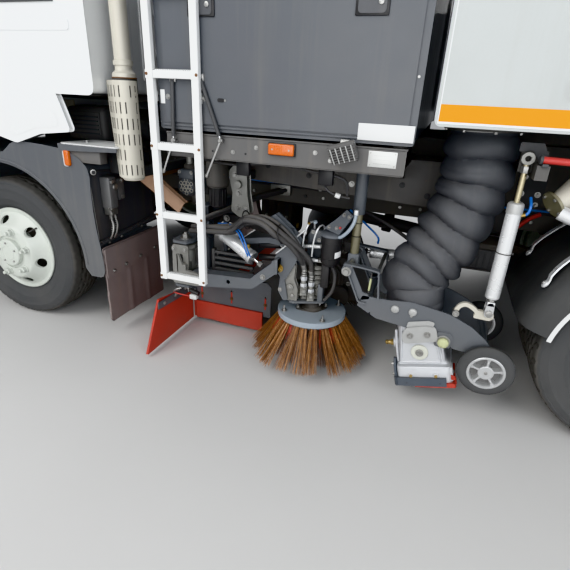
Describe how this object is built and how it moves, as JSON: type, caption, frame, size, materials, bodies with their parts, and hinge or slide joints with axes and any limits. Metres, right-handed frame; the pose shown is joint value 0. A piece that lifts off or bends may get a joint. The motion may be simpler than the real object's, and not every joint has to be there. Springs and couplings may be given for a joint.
{
  "type": "street sweeper truck",
  "caption": "Two-axle forward-control sweeper truck with tilting hopper, engine housing, side broom, roller brush and trailed suction nozzle.",
  "frame": {"origin": "on the ground under the middle of the bounding box", "axes": "front towards -X, left side towards -Y, up +Z"},
  "size_m": [5.75, 2.5, 2.8499],
  "materials": {
    "bristle": "bristled",
    "cab_white": "gloss",
    "chassis_black": "satin",
    "clear_glass": "clear",
    "engine_metal": "matte",
    "flap_rubber": "matte",
    "gear_grey": "satin, worn",
    "hopper_pale": "gloss",
    "hose_black": "matte",
    "housing_grey": "satin",
    "ladder_white": "satin",
    "pipe_steel": "heat-tinted",
    "ram_chrome": "polished",
    "seat_fabric": "woven",
    "shield_cream": "satin",
    "skirt_red": "matte",
    "steel": "satin",
    "tank_grey": "satin",
    "trim_black": "grained",
    "trim_grey": "grained",
    "tyre_black": "matte",
    "wheel_white": "semi-gloss"
  },
  "bodies": {
    "chassis": {"frame_rails": "chassis_black", "crossmembers": "chassis_black", "subframe": "housing_grey", "engine_block": "engine_metal", "driveline": "engine_metal", "front_axle": "chassis_black", "rear_axle": "chassis_black", "leaf_springs": "chassis_black", "front_bumper": "trim_grey", "front_wings": "trim_grey", "mudflaps": "flap_rubber", "rear_mudguards": "trim_black", "fuel_tank": "tank_grey", "water_tank": "tank_grey", "battery_box": "trim_grey", "engine_housing": "housing_grey", "fan_engine": "engine_metal", "exhaust_stack": "pipe_steel", "heat_shield": "shield_cream", "ladder": "ladder_white", "rear_bumper": "chassis_black", "sweep_brackets": "gear_grey", "skirt_plates": "gear_grey", "skirt_rubbers": "skirt_red", "suction_hose": "hose_black"},
    "cab": {"cab_shell": "cab_white", "cab_glass": "clear_glass", "dashboard": "trim_black", "steering_wheel": "trim_black", "seats": "seat_fabric", "mirrors": "trim_black"},
    "left_door": {"door_left": "cab_white", "door_glass_left": "clear_glass"},
    "right_door": {"door_right": "cab_white", "door_glass_right": "clear_glass"},
    "left_steer": {"left_knuckle": "engine_metal"},
    "right_steer": {"right_knuckle": "engine_metal"},
    "front_left_wheel": {"front_left_tyre": "tyre_black", "front_left_rim": "wheel_white"},
    "front_right_wheel": {"front_right_tyre": "tyre_black", "front_right_rim": "wheel_white"},
    "rear_left_wheels": {"rear_left_tyres": "tyre_black", "rear_left_rims": "wheel_white"},
    "rear_right_wheels": {"rear_right_tyres": "tyre_black", "rear_right_rims": "wheel_white"},
    "hopper_body": {"hopper": "hopper_pale"},
    "gate": {"hopper_gate": "hopper_pale"},
    "tip_ram_barrels": {"tip_rams": "gear_grey"},
    "tip_ram_rods": {"tip_rods": "ram_chrome"},
    "swivel": {"broom_swivel": "gear_grey"},
    "broom_carrier": {"broom_arm": "gear_grey"},
    "broom": {"side_broom": "bristle"},
    "nozzle": {"nozzle_arm": "gear_grey", "suction_nozzle": "gear_grey"},
    "nozzle_wheel_a": {"nozzle_wheel_outer": "tyre_black"},
    "nozzle_wheel_b": {"nozzle_wheel_inner": "tyre_black"},
    "lift_barrel": {"lift_cylinder": "steel"},
    "lift_piston": {"lift_rod": "ram_chrome"},
    "roller_hood": {"roller_frame": "gear_grey"},
    "roller": {"roller_brush": "bristle"}
  },
  "joints": [
    {"name": "cab_tilt", "type": "hinge", "parent": "chassis", "child": "cab", "pos_m": [-2.7, 0, 0.85], "axis": [0, -1, 0], "range_deg": [0, 50]},
    {"name": "left_door_hinge", "type": "hinge", "parent": "cab", "child": "left_door", "pos_m": [-2.642, -1.112, 1.53], "axis": [0, 0, -1], "range_deg": [0, 70]},
    {"name": "right_door_hinge", "type": "hinge", "parent": "cab", "child": "right_door", "pos_m": [-2.642, 1.112, 1.53], "axis": [0, 0, 1], "range_deg": [0, 70]},
    {"name": "steer_left", "type": "hinge", "parent": "chassis", "child": "left_steer", "pos_m": [-1.625, -0.82, 0.3985], "axis": [0, 0, 1], "range_deg": [-32, 32]},
    {"name": "steer_right", "type": "hinge", "parent": "chassis", "child": "right_steer", "pos_m": [-1.625, 0.82, 0.3985], "axis": [0, 0, 1], "range_deg": [-32, 32]},
    {"name": "front_left_spin", "type": "hinge", "parent": "left_steer", "child": "front_left_wheel", "pos_m": [-1.625, -0.957, 0.3985], "axis": [0, 1, 0], "continuous": true},
    {"name": "front_right_spin", "type": "hinge", "parent": "right_steer", "child": "front_right_wheel", "pos_m": [-1.625, 0.957, 0.3985], "axis": [0, 1, 0], "continuous": true},
    {"name": "rear_left_spin", "type": "hinge", "parent": "chassis", "child": "rear_left_wheels", "pos_m": [1.425, -0.8245, 0.3985], "axis": [0, 1, 0], "continuous": true},
    {"name": "rear_right_spin", "type": "hinge", "parent": "chassis", "child": "rear_right_wheels", "pos_m": [1.425, 0.8245, 0.3985], "axis": [0, 1, 0], "continuous": true},
    {"name": "hopper_tip", "type": "hinge", "parent": "chassis", "child": "hopper_body", "pos_m": [2.56, 0, 1.06], "axis": [0, 1, 0], "range_deg": [0, 50]},
    {"name": "gate_hinge", "type": "hinge", "parent": "hopper_body", "child": "gate", "pos_m": [2.545, 0, 2.815], "axis": [0, -1, 0], "range_deg": [0, 85]},
    {"name": "ram_swing", "type": "hinge", "parent": "chassis", "child": "tip_ram_barrels", "pos_m": [0.9, 0, 0.8], "axis": [0, -1, 0], "range_deg": [0, 13.42]},
    {"name": "ram_stroke", "type": "slide", "parent": "tip_ram_barrels", "child": "tip_ram_rods", "axis": [0.9468, 0, 0.3219], "range_m": [0, 0.478]},
    {"name": "broom_swing", "type": "hinge", "parent": "chassis", "child": "swivel", "pos_m": [-0.6, -0.95, 0.4555], "axis": [0, 0, -1], "range_deg": [0, 25]},
    {"name": "broom_lower", "type": "hinge", "parent": "swivel", "child": "broom_carrier", "pos_m": [-0.5, -0.985, 0.398], "axis": [0, 1, 0], "range_deg": [0, 3]},
    {"name": "broom_spin", "type": "hinge", "parent": "broom_carrier", "child": "broom", "pos_m": [0.062, -0.87, 0.29], "axis": [0, 0, 1], "continuous": true},
    {"name": "nozzle_lower", "type": "hinge", "parent": "chassis", "child": "nozzle", "pos_m": [0.25, -0.9, 0.585], "axis": [0, 1, 0], "range_deg": [0, 13.7], "deforming": ["suction_hose"]},
    {"name": "nozzle_wheel_a_spin", "type": "hinge", "parent": "nozzle", "child": "nozzle_wheel_a", "pos_m": [0.87402, -1.074, 0.25202], "axis": [0, 1, 0], "continuous": true},
    {"name": "nozzle_wheel_b_spin", "type": "hinge", "parent": "nozzle", "child": "nozzle_wheel_b", "pos_m": [0.87402, -0.611, 0.25202], "axis": [0, 1, 0], "continuous": true},
    {"name": "lift_swing", "type": "hinge", "parent": "nozzle", "child": "lift_barrel", "pos_m": [0.835, -1.03, 0.5], "axis": [0, 1, 0], "range_deg": [-10.85, 0]},
    {"name": "lift_stroke", "type": "slide", "parent": "lift_barrel", "child": "lift_piston", "axis": [0, 0, 1], "range_m": [0, 0.1371]},
    {"name": "roller_lower", "type": "hinge", "parent": "chassis", "child": "roller_hood", "pos_m": [-0.62, 0, 0.56], "axis": [0, 1, 0], "range_deg": [0, 2.3]},
    {"name": "roller_spin", "type": "hinge", "parent": "roller_hood", "child": "roller", "pos_m": [-0.074, 0.2, 0.235], "axis": [-0.2568, 0.9665, 0], "continuous": true}
  ],
  "couplings": [
    {"joint": "steer_right", "follows": "steer_left", "ratio": 1},
    {"joint": "ram_swing", "follows": "hopper_tip", "ratio": 0.2684},
    {"joint": "ram_stroke", "follows": "hopper_tip", "m_per_rad": 0.5466},
    {"joint": "lift_swing", "follows": "nozzle_lower", "ratio": -0.7912},
    {"joint": "lift_stroke", "follows": "nozzle_lower", "m_per_rad": 0.5729}
  ]
}
